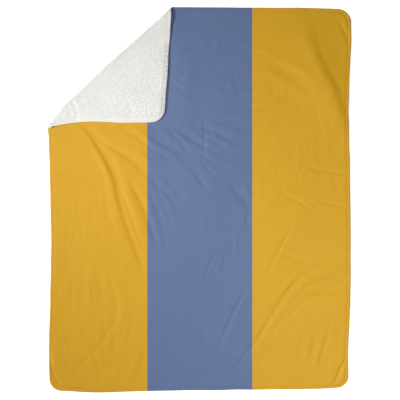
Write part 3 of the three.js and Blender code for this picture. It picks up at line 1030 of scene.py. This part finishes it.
class MeshMaker:
    """Puts arrays of vertices and triangles into pieces of the throw."""

    @staticmethod
    def piece(
        name: str, vertices: Array, triangles: Array, flat: Array | None = None, roll_shade_and_patches: Array | None = None
    ) -> Piece:
        """Make a mesh object at the origin, with smooth faces.

        Args:
            name: Name of the piece.
            vertices: Points, one row each.
            triangles: Vertex numbers, three in a row.
            flat: Places on the cut, one for each vertex, kept as the UV map.
            roll_shade_and_patches: Share of the pile's darker ground colour at each vertex, painted shade
                over the roll and patches at the rim.

        Returns:
            The object, linked to the scene.
        """
        mesh = bpy.data.meshes.new(name)
        mesh.vertices.add(len(vertices))
        mesh.vertices.foreach_set("co", np.ascontiguousarray(vertices, np.float32).ravel())
        mesh.loops.add(triangles.size)
        mesh.loops.foreach_set("vertex_index", triangles.ravel().astype(np.int32))
        mesh.polygons.add(len(triangles))
        mesh.polygons.foreach_set("loop_start", np.arange(0, triangles.size, 3, dtype=np.int32))
        mesh.polygons.foreach_set("use_smooth", np.ones(len(triangles), bool))
        if flat is not None:
            layer = mesh.uv_layers.new(name="cut")
            layer.data.foreach_set("uv", flat[triangles.ravel()].astype(np.float32).ravel())
        if roll_shade_and_patches is not None:
            values = mesh.attributes.new("open", "FLOAT", "POINT")
            values.data.foreach_set("value", np.ascontiguousarray(roll_shade_and_patches, np.float32))
        mesh.update(calc_edges=True)
        mesh.validate()
        return stand(name, mesh)

    @staticmethod
    def scatter(
        shape: Array, faces: Array, at: Array, axes: tuple[Array, Array, Array], size: Array
    ) -> tuple[Array, Array]:
        """Repeat a small shape at many places.

        Each vertex is place + x · first axis + y · second axis + z · normal, with the shape's own
        x, y, z times the size of that copy.

        Args:
            shape: Vertices of each copy, copies by vertices by three.
            faces: Triangles of one copy.
            at, axes, size: Places, unit vectors and three sizes of the copies.

        Returns:
            All vertices and all triangles.
        """
        scaled = shape * size[:, None, :]
        points = at[:, None, :] + sum(scaled[:, :, k : k + 1] * axes[k][:, None, :] for k in range(3))
        first = np.arange(len(at))[:, None, None] * shape.shape[1]
        return points.reshape(-1, 3), (faces[None] + first).reshape(-1, 3)


class NodeDesk:
    """Adds and joins the shader nodes of one material. A value is a socket, a number or a colour."""

    def __init__(self, name: str) -> None:
        """Start a material with a principled shader alone.

        Args:
            name: Name of the material.
        """
        self.material = bpy.data.materials.new(name)
        self.material.use_nodes = True
        self.tree = self.material.node_tree
        self.tree.nodes.clear()
        self.shader = self.tree.nodes.new("ShaderNodeBsdfPrincipled")
        out = self.tree.nodes.new("ShaderNodeOutputMaterial")
        self.tree.links.new(self.shader.outputs["BSDF"], out.inputs["Surface"])

    def feed(self, socket: Socket, value: object) -> None:
        """Give an input its value; None leaves it as it is.

        Args:
            socket: The input.
            value: A socket, a number, a colour or None.
        """
        if isinstance(value, Socket):
            self.tree.links.new(value, socket)
        elif isinstance(value, tuple):
            socket.default_value = (*value, 1.0)[: len(socket.default_value)]
        elif value is not None:
            socket.default_value = value

    def node(self, kind: str, output: str | int, inputs: dict, **settings: object) -> Socket:
        """Add a node, set its properties and feed its inputs.

        Args:
            kind: The node's type.
            output: Name or number of the output that is wanted.
            inputs: Values by the inputs' names or numbers.
            settings: Properties of the node.

        Returns:
            That output.
        """
        node = self.tree.nodes.new(kind)
        for name, value in settings.items():
            setattr(node, name, value)
        for name, value in inputs.items():
            self.feed(node.inputs[name], value)
        return node.outputs[output]

    def finish(self, **values: object) -> bpy.types.Material:
        """Feed the shader's inputs.

        Args:
            values: Values by the inputs' names, with underscores for spaces.

        Returns:
            The material.
        """
        for name, value in values.items():
            self.feed(self.shader.inputs[name.replace("_", " ")], value)
        return self.material

    def glow(self, colour: object, strength: float) -> bpy.types.Material:
        """Finish a matt surface that gives off an even white light.

        Args:
            colour: Colour of the surface.
            strength: Strength of the light.

        Returns:
            The material.
        """
        return self.finish(
            Base_Color=colour,
            Roughness=1.0,
            Specular_IOR_Level=0.0,
            Emission_Color=WHITE,
            Emission_Strength=strength,
        )

    def texture(self, kind: str, output: str, scale: float, **settings: object) -> Socket:
        """Add a texture in the object's own coordinates."""
        place = self.node("ShaderNodeTexCoord", "Object", {})
        return self.node(kind, output, {"Vector": place, "Scale": scale}, **settings)

    def noise(self, scale: float, detail: float = 2.0) -> Socket:
        """Add a noise texture.

        Args:
            scale, detail: Its settings.

        Returns:
            Its value, which stays about 0.5.
        """
        value = self.texture("ShaderNodeTexNoise", "Fac", scale)
        value.node.inputs["Detail"].default_value = detail
        return value

    def math(self, operation: str, first: object, second: object = None) -> Socket:
        """Add a Math node."""
        return self.node("ShaderNodeMath", 0, {0: first, 1: second}, operation=operation)

    def mix(self, share: object, first: object, second: object) -> Socket:
        """Mix two colours by a share; the node has its colours at inputs 6 and 7 and output 2."""
        return self.node("ShaderNodeMix", 2, {0: share, 6: first, 7: second}, data_type="RGBA")

    def tone(self, colour: object, value: Socket, swing: float) -> Socket:
        """Scale a colour by 1 - swing to 1 + swing where a noise value runs from 0.3 to 0.7.

        Args:
            colour: A socket or a colour.
            value: The noise value.
            swing: The greatest change.

        Returns:
            The scaled colour.
        """
        ends = {"From Min": 0.3, "From Max": 0.7, "To Min": 1 - swing, "To Max": 1 + swing}
        factor = self.node("ShaderNodeMapRange", 0, {"Value": value, **ends})
        return self.node("ShaderNodeVectorMath", 0, {0: colour, "Scale": factor}, operation="SCALE")

    def bump(self, height: Socket, distance: float, strength: float, under: Socket | None = None) -> Socket:
        """Add a Bump node, over another one where it is given."""
        inputs = {"Height": height, "Distance": distance, "Strength": strength, "Normal": under}
        return self.node("ShaderNodeBump", "Normal", inputs)

    def cut_bands(self, gold: Colour, blue: Colour) -> Socket:
        """Colour the cut in three bands along its length, blue within HALF_BAND of the middle.

        Args:
            gold, blue: The colours.

        Returns:
            The colour of each place.
        """
        cut = self.node("ShaderNodeUVMap", 0, {}, uv_map="cut")
        across = self.node("ShaderNodeSeparateXYZ", "X", {0: cut})
        return self.mix(self.math("LESS_THAN", self.math("ABSOLUTE", across), HALF_BAND), gold, blue)


@dataclass(frozen=True)
class PrintedFleece:
    """Short-napped fleece, printed in a golden, a blue and a golden band."""

    gold: Colour = (0.532, 0.286, 0.0065)
    blue: Colour = (0.093, 0.136, 0.258)
    sheen: float = 0.03

    def material(self) -> bpy.types.Material:
        """Bands by the cut's own places, a mottled nap, and bump at the nap's and the hand's scale.

        Returns:
            The material.
        """
        desk = NodeDesk("printed_fleece")
        colour = desk.tone(desk.cut_bands(self.gold, self.blue), desk.noise(7.0, 3.0), 0.01)
        hand = desk.bump(desk.noise(34.0, 4.0), 0.7 * MM, 0.35)
        return desk.finish(
            Base_Color=desk.tone(colour, desk.noise(190.0, 3.0), 0.035),
            Normal=desk.bump(desk.noise(620.0, 3.0), 0.35 * MM, 0.45, hand),
            Roughness=0.62,
            Sheen_Weight=self.sheen,
            Sheen_Roughness=0.5,
            Specular_IOR_Level=0.29,
        )


@dataclass(frozen=True)
class SherpaPile:
    """Warm white sherpa, curled and matted, a little darker between its curls.

    Where the cloth's attribute "open" is up, a share of the colour is the darker knitted ground's. This is
    painted shade over the outer side of the roll, and darker patches along the free rim at the top.
    """

    white: Colour = (0.762, 0.756, 0.727)
    hollow: Colour = (0.70, 0.69, 0.66)
    ground: Colour = (0.50, 0.49, 0.46)
    shade_and_patch_depth: float = 0.7
    contrast: float = 0.015

    def material(self, name: str, curled: bool) -> bpy.types.Material:
        """Colour and bump of the pile.

        Args:
            name: Name of the material.
            curled: Whether the piece is the curls themselves, which need no bump of curls.

        Returns:
            The material.
        """
        desk = NodeDesk(name)
        clumps = desk.noise(75.0, 3.0)
        share = desk.math("MULTIPLY", clumps, 1.7) if curled else clumps
        colour = desk.mix(share, self.hollow, self.white)
        # Painted shade over the roll's outer side, and darker patches along the free rim, mixed in from the
        # attribute.
        roll_shade_and_patches = desk.node("ShaderNodeAttribute", "Fac", {}, attribute_name="open")
        colour = desk.mix(desk.math("MULTIPLY", roll_shade_and_patches, self.shade_and_patch_depth), colour, self.ground)
        fine = desk.bump(desk.noise(900.0, 3.0), 0.4 * MM, 0.5)
        if not curled:
            curls = desk.texture("ShaderNodeTexVoronoi", "Distance", 210.0)
            fine = desk.bump(curls, 1.6 * MM, 0.8, fine)
        return desk.finish(
            Base_Color=desk.tone(colour, desk.noise(11.0), self.contrast),
            Normal=fine,
            Roughness=0.95,
            Sheen_Weight=0.2,
            Sheen_Roughness=0.6,
            Specular_IOR_Level=0.1,
        )


@dataclass(frozen=True)
class SewingThread:
    """Twisted polyester thread, dyed like the print it is sewn on."""

    gold: Colour = (0.500, 0.245, 0.022)
    blue: Colour = (0.080, 0.118, 0.225)

    def material(self) -> bpy.types.Material:
        """The bands' colours, deeper, with the twist as a fine slanting bump.

        Returns:
            The material.
        """
        desk = NodeDesk("sewing_thread")
        twist = desk.texture("ShaderNodeTexWave", "Fac", 900.0, bands_direction="DIAGONAL")
        return desk.finish(
            Base_Color=desk.tone(desk.cut_bands(self.gold, self.blue), desk.noise(400.0), 0.08),
            Normal=desk.bump(twist, 0.1 * MM, 0.5),
            Roughness=0.55,
            Sheen_Weight=0.1,
            Specular_IOR_Level=0.4,
        )


@dataclass(frozen=True)
class StudioFloor:
    """Plain matt white floor, lit through a little so that it stays white in the studio's shade."""

    side: float = 60.0
    white: float = 0.9
    glow: float = 0.42

    def material(self) -> bpy.types.Material:
        """White with an unevenness too faint to see as a pattern."""
        desk = NodeDesk("studio_floor")
        return desk.glow(desk.tone((self.white,) * 3, desk.noise(1.2), 0.005), self.glow)

    def build(self) -> Piece:
        """Lay a flat square floor just under the throw.

        Returns:
            The floor.
        """
        half = self.side / 2
        corners = ((-half, -half), (half, -half), (half, half), (-half, half))
        points = np.array([(x, y, STAGE_LEVEL) for x, y in corners])
        floor = MeshMaker.piece("floor", points, np.array([(0, 1, 2), (0, 2, 3)]))
        floor.data.materials.append(self.material())
        return floor


@dataclass(frozen=True)
class StudioWall:
    """Plain white paper round the floor, evenly lit, so that low views see no dark horizon."""

    radius: float = 28.0
    height: float = 7.0
    glow: float = 0.95
    sides: int = 64

    def material(self) -> bpy.types.Material:
        """An even white glow."""
        return NodeDesk("studio_wall").glow((0.05, 0.05, 0.05), self.glow)

    def build(self) -> Piece:
        """Stand the wall on the floor as a ring that faces inwards.

        Returns:
            The wall.
        """
        turn = np.arange(self.sides) * math.tau / self.sides
        ring = self.radius * np.stack((np.cos(turn), np.sin(turn)), 1)
        rims = [np.insert(ring, 2, level, axis=1) for level in (STAGE_LEVEL, self.height)]
        here = np.arange(self.sides)
        beside, over = np.roll(here, -1), here + self.sides
        lower = np.stack((here, over, beside), 1)
        upper = np.stack((beside, over, beside + self.sides), 1)
        wall = MeshMaker.piece("wall", np.concatenate(rims), np.concatenate((lower, upper)))
        wall.data.materials.append(self.material())
        wall.visible_shadow = False
        return wall


@dataclass
class Studio:
    """Camera straight above, a soft key light from the left, two lamps overhead and a pale surround."""

    distance: float = 6.0
    face_height: float = 7.8 * MM
    frame_width: float = 400 * 4.63 * MM
    centre: tuple[float, float] = (1.2 * MM, -1.2 * MM)
    surround: float = 0.07
    key_from: tuple[float, float, float] = (-0.95, 0.0, 0.89)
    key_strength: float = 2.35
    key_angle: float = 12.0
    lamps: tuple[tuple[str, tuple[float, float, float], float, float], ...] = (
        ("upper_left_lamp", (-0.63, 0.33, 1.3), 0.7, 10.0),
        ("lower_right_lamp", (0.68, -0.69, 1.74), 0.9, 17.3),
    )

    def camera(self) -> None:
        """Set the camera over the throw so that its picture spans frame_width at the face."""
        lens = bpy.data.cameras.new("camera")
        lens.sensor_width = 36.0
        lens.lens = lens.sensor_width * (self.distance - self.face_height) / self.frame_width
        lens.clip_end = 200.0
        camera = stand("camera", lens)
        camera.location = (*self.centre, self.distance)
        bpy.context.scene.camera = camera

    def lights(self) -> None:
        """Hang the lamps, facing straight down, and the key light, in an even pale surround."""
        sun = bpy.data.lights.new("key_light", "SUN")
        sun.energy = self.key_strength
        sun.angle = math.radians(self.key_angle)
        aim = (-Vector(self.key_from)).to_track_quat("-Z", "Y").to_euler()
        stand("key_light", sun).rotation_euler = aim
        for name, at, side, power in self.lamps:
            data = bpy.data.lights.new(name, "AREA")
            data.shape = "SQUARE"
            data.size = side
            data.energy = power
            lamp = stand(name, data)
            lamp.location = at
            lamp.visible_camera = False
        world = bpy.data.worlds.new("surround")
        world.use_nodes = True
        shade = world.node_tree.nodes["Background"]
        shade.inputs["Color"].default_value = (*WHITE, 1.0)
        shade.inputs["Strength"].default_value = self.surround
        bpy.context.scene.world = world
        bpy.context.scene.view_settings.view_transform = "Standard"


@dataclass
class ClothPair:
    """The two cloths, each closed, with a fine outer side and a plain inner side that is hidden."""

    throw: LaidThrow
    grid: ClothGrid
    inner_every: int = 4
    pile_every: int = 2
    inner_depth: float = 1.3 * MM
    inner_lowest: float = 2.0 * MM
    ply_gap: float = 0.3 * MM

    def __post_init__(self) -> None:
        """Work out the places on the cut and the heights of print and seam."""
        split = self.grid.lower_rows
        lying = self.grid.lying()
        self.patches = (lying, self.grid.folded(lying[0][split:, 0], lying[1][split:, 0]))
        self.print = [self.throw.print_offset(*patch) for patch in self.patches]
        self.seam = [self.grid.lowest(patch, self.inner_every) - self.inner_depth for patch in self.print]
        self.seam[1][:, 0] = self.seam[0][split:, 0]
        self.seam[1][0, :] = self.seam[0][split, 0]
        self.seam[1][-1, :] = self.seam[0][-1, 0]

    def heights(self, layer: Layer) -> list[Array]:
        """Work out the heights of one layer over the seam.

        Args:
            layer: The layer.

        Returns:
            The heights on the lying and on the folded patch.
        """
        if layer is Layer.PRINT:
            return self.print
        if layer is Layer.PILE:
            return [self.throw.pile_offset(*patch) for patch in self.patches]
        down = self.ply_gap if layer is Layer.BACKING_TOP else 0.0
        lowest = self.inner_lowest - self.throw.fold.seam_height
        return [np.maximum(patch, lowest) - down for patch in self.seam]

    def side(self, layer: Layer, every: int) -> tuple[Array, Array]:
        """Lay one side of a cloth down.

        Args:
            layer: The layer.
            every: The coarseness.

        Returns:
            The vertices and their places on the cut.
        """
        cut = self.grid.flatten(*(np.stack(patch, -1) for patch in self.patches), every)
        offset = self.grid.flatten(*self.heights(layer), every)
        return self.throw.place(cut[:, 0], cut[:, 1], offset), cut

    def closed(self, name: str, outer: tuple[Layer, int], inner: tuple[Layer, int], flip: bool) -> Piece:
        """Join an outer and a coarser inner side into one closed cloth.

        Round the cut, each span of the inner outline meets a few spans of the outer one in a fan.

        Args:
            name: Name of the piece.
            outer, inner: Layer and coarseness of the fine side and of the plain side.
            flip: Whether the fine side is the lower one.

        Returns:
            The cloth.
        """
        top, top_cut = self.side(*outer)
        low, low_cut = self.side(*inner)
        ratio = inner[1] // outer[1]
        ring = self.grid.outline(outer[1]).reshape(-1, ratio)
        base = self.grid.outline(inner[1]) + len(top)
        ahead = np.concatenate((ring[:, 1:], np.roll(ring[:, :1], -1, 0)), 1)
        base_next = np.roll(base, -1)
        half = ratio // 2
        owner = np.where(np.arange(ratio) < half, base[:, None], base_next[:, None])
        fans = np.stack((ring, owner, ahead), -1).reshape(-1, 3)
        middle = np.stack((ring[:, half], base, base_next), -1)
        under = self.grid.triangles(inner[1])[:, ::-1] + len(top)
        faces = np.concatenate((self.grid.triangles(outer[1]), fans, middle, under))
        if flip:
            faces = faces[:, ::-1]
        cut = np.concatenate((top_cut, low_cut))
        # Painted shade over the roll and darker rim patches, kept as the pile's attribute.
        roll_shade_and_patches = self.throw.roll_shade_and_rim_patches(cut[:, 0], cut[:, 1])
        piece = MeshMaker.piece(name, np.concatenate((top, low)), faces, cut, roll_shade_and_patches)
        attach(piece, BODY)
        return piece

    def face(self) -> Piece:
        """Make the printed face.

        Returns:
            The face.
        """
        piece = self.closed("face_fleece", (Layer.PRINT, 1), (Layer.FACE_BACK, self.inner_every), False)
        piece.data.materials.append(PrintedFleece().material())
        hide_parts("face_panel")
        return piece

    def backing(self) -> Piece:
        """Make the sherpa backing.

        Returns:
            The backing.
        """
        outer, inner = (Layer.PILE, self.pile_every), (Layer.BACKING_TOP, self.inner_every)
        piece = self.closed("sherpa_cloth", outer, inner, True)
        piece.data.materials.append(SherpaPile().material("sherpa_ground", False))
        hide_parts("sherpa_backing")
        return piece


@dataclass
class SherpaCurls:
    """The curls of the pile where it shows: on the folded-over corner, round the roll and at the rim."""

    throw: LaidThrow
    spacing: float = 4.9 * MM
    bare_rim: float = 2.4 * MM
    roll_start: float = 1.5 * MM
    size: tuple[float, float, float] = (3.3 * MM, 2.5 * MM, 1.5 * MM)
    rim_spacing: float = 4.6 * MM
    rim_insets: tuple[float, float] = (2.7 * MM, 6.2 * MM)
    rim_size: tuple[float, float, float] = (2.5 * MM, 2.1 * MM, 1.75 * MM)
    lean: float = 0.22

    @staticmethod
    def blob() -> tuple[Array, Array]:
        """Make an icosahedron of radius 1 from three golden rectangles.

        Returns:
            Its vertices and triangles.
        """
        golden = (1 + math.sqrt(5)) / 2
        corners = []
        for a in (-1.0, 1.0):
            for b in (-golden, golden):
                corners += [(0, a, b), (a, b, 0), (b, 0, a)]
        points = unit(np.array(corners))
        near = np.linalg.norm(points[:, None] - points[None], axis=-1) < 1.1
        faces = []
        for i, j, k in np.argwhere(near[:, :, None] & near[None] & near[:, None, :]):
            outward = np.dot(np.cross(points[j] - points[i], points[k] - points[i]), points[i])
            if i < j and i < k and j != k and outward > 0:
                faces.append((i, j, k))
        return points, np.array(faces)

    def scatter(self, name: str, u: Array, v: Array, offset: Array, size: Array, seed: int) -> Piece:
        """Set a lumpy blob at each place, turned at random and leaning a little, none below the floor.

        Args:
            name: Name of the piece.
            u, v: Places on the cut.
            offset: Height of the blobs' middles over the seam.
            size: Half sizes of each blob.
            seed: Picks turns and lumps.

        Returns:
            The piece.
        """
        rng = np.random.default_rng(seed)
        points, faces = self.blob()
        at, first, second, normal = self.throw.frame_at(u, v, offset, -1.0)
        spin = rng.uniform(0, math.tau, len(u))[:, None]
        lean = rng.normal(0, self.lean, (len(u), 2))
        tilted = unit(normal + lean[:, :1] * first + lean[:, 1:] * second)
        along = square_to(np.cos(spin) * first + np.sin(spin) * second, tilted)
        shape = points[None] * rng.uniform(0.8, 1.2, (len(u), len(points), 1))
        axes = (along, np.cross(tilted, along), tilted)
        vertices, triangles = MeshMaker.scatter(shape, faces, at, axes, size)
        copies = vertices.reshape(len(u), -1, 3)
        copies[:, :, 2] += np.maximum(-copies[:, :, 2].min(1, keepdims=True), 0)
        # Painted shade over the roll and darker rim patches, for each curl.
        roll_shade_and_patches = np.repeat(self.throw.roll_shade_and_rim_patches(u, v), len(points))
        piece = MeshMaker.piece(name, vertices, triangles, None, roll_shade_and_patches)
        piece.data.materials.append(SherpaPile().material(name, True))
        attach(piece, BODY)
        return piece

    def on_corner(self) -> Piece:
        """Cover the corner and the roll, row by row on a shaken triangular lattice.

        Returns:
            The piece.
        """
        pattern = self.throw.pattern
        rng = np.random.default_rng(Seed.CURL_PLACES)
        rows = np.arange(280 * MM, pattern.length / 2, self.spacing * math.sqrt(3) / 2)
        line = np.arange(-pattern.width / 2, -60 * MM, self.spacing)
        u = line[None, :] + self.spacing / 2 * (np.arange(len(rows)) % 2)[:, None]
        v = np.broadcast_to(rows[:, None], u.shape)
        u, v = (x.ravel() + rng.uniform(-0.3, 0.3, x.size) * self.spacing for x in (u, v))
        edge = pattern.edge_distance(u, v)
        kept = (self.throw.fold.beyond(u, v) > self.roll_start) & (edge > self.bare_rim)
        u, v, edge = u[kept], v[kept], edge[kept]
        loose = smooth((v - 838 * MM) / (22 * MM))[:, None]
        clump = 1 + 0.07 * ripple(u, v, 26 * MM, Seed.CLUMPS)
        clump += 0.05 * ripple(u, v, 12 * MM, Seed.SMALL_CLUMPS)
        stitched = 1 - 0.45 * bell(edge - self.throw.hem.stitch, 3.5 * MM)
        scale = 1 + (0.13 + 0.3 * loose) * rng.uniform(-1, 1, (len(u), 3))
        size = np.array(self.size) * (scale * (clump * stitched)[:, None])
        offset = self.throw.pile_offset(u, v) - 0.3 * size[:, 2]
        return self.scatter("sherpa_curls", u, v, offset, size, Seed.CURLS)

    def at_rim(self) -> Piece:
        """Set two rows of small curls under the hem, all round the lying part.

        Returns:
            The piece.
        """
        rng = np.random.default_rng(Seed.RIM_PLACES)
        found = []
        for inset in self.rim_insets:
            places, _ = self.throw.pattern.rim(inset, self.rim_spacing)
            found.append(places + rng.uniform(-0.5, 0.5, places.shape) * MM)
        u, v = np.concatenate(found).T
        kept = self.throw.fold.beyond(u, v) < self.roll_start
        u, v = u[kept], v[kept]
        size = np.array(self.rim_size) * rng.uniform(0.85, 1.1, (len(u), 3))
        offset = -self.throw.fold.seam_height + size[:, 2] * rng.uniform(1.0, 1.15, len(u))
        return self.scatter("rim_curls", u, v, offset, size, Seed.RIM_CURLS)


@dataclass
class EdgeStitching:
    """One row of topstitching round the hem, sunk in the groove that it pulls into the face."""

    throw: LaidThrow
    pitch: float = 4.6 * MM
    stitch: float = 3.5 * MM
    radius: float = 0.45 * MM
    proud: float = 0.25 * MM

    @staticmethod
    def shape() -> tuple[Array, Array]:
        """A short closed thread: five rings of six places, of radii on a half sine, and two ends.

        Returns:
            Vertices with the length along x from -1 to 1 and radius 1, and triangles.
        """
        run = np.array((-0.86, -0.5, 0.0, 0.5, 0.86))[:, None]
        wide = np.array((0.55, 0.95, 1.0, 0.95, 0.55))[:, None]
        turn = np.arange(6) * math.tau / 6
        rings = np.broadcast_arrays(run, wide * np.cos(turn), wide * np.sin(turn) - 0.9 * run**2)
        ends = ((-1.0, 0, -1.1), (1.0, 0, -1.1))
        here = np.arange(24).reshape(4, 6)
        beside = np.roll(here, -1, 1)
        first, last = np.arange(6), np.arange(24, 30)
        corners = (
            (here, beside + 6, here + 6),
            (here, beside, beside + 6),
            (np.roll(first, -1), first, np.full(6, 30)),
            (last, np.roll(last, -1), np.full(6, 31)),
        )
        faces = np.concatenate([np.stack(three, -1).reshape(-1, 3) for three in corners])
        return np.concatenate((np.stack(rings, -1).reshape(-1, 3), ends)), faces

    def build(self) -> Piece:
        """Lay the stitches along the groove.

        Returns:
            The piece.
        """
        places, heading = self.throw.pattern.rim(self.throw.hem.stitch, self.pitch)
        u, v = places.T
        offset = self.throw.print_offset(u, v) + self.proud
        at, _, _, normal = self.throw.frame_at(u, v, offset, 1.0)
        ahead = self.throw.place(u + heading[:, 0] * MM, v + heading[:, 1] * MM, offset)
        along = square_to(ahead - at, normal)
        shape, faces = self.shape()
        rng = np.random.default_rng(Seed.STITCHES)
        size = np.array((self.stitch / 2, self.radius, self.radius)) * rng.uniform(0.93, 1.07, (len(u), 3))
        shape = np.broadcast_to(shape, (len(u), *shape.shape))
        axes = (along, np.cross(normal, along), normal)
        vertices, triangles = MeshMaker.scatter(shape, faces, at, axes, size)
        flat = np.repeat(places, shape.shape[1], 0)
        piece = MeshMaker.piece("edge_stitching", vertices, triangles, flat)
        piece.data.materials.append(SewingThread().material())
        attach(piece, BODY)
        return piece


def report(piece: Piece) -> None:
    """Log one piece's triangles and box.

    Args:
        piece: The piece.
    """
    points = np.zeros(len(piece.data.vertices) * 3, np.float32)
    piece.data.vertices.foreach_get("co", points)
    points = points.reshape(-1, 3) / MM
    low, high = points.min(0).round(1), points.max(0).round(1)
    LOG.info("%s: %d faces, from %s to %s mm", piece.name, len(piece.data.polygons), low, high)


def main() -> None:
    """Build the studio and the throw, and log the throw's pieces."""
    logging.basicConfig(level=logging.INFO, format="%(name)s: %(message)s")
    studio = Studio()
    studio.camera()
    studio.lights()
    floor = StudioFloor().build()
    StudioWall().build()
    throw = LaidThrow()
    cloths = ClothPair(throw, ClothGrid(throw.fold))
    face, backing = cloths.face(), cloths.backing()
    curls = SherpaCurls(throw)
    corner_curls, rim_curls = curls.on_corner(), curls.at_rim()
    stitching = EdgeStitching(throw).build()
    flat = (throw.pattern.width, throw.pattern.length)
    throw.pattern.area()
    throw.pattern.area()
    for piece in (face, backing, corner_curls, rim_curls, stitching):
        report(piece)


if __name__ == "__main__":
    main()
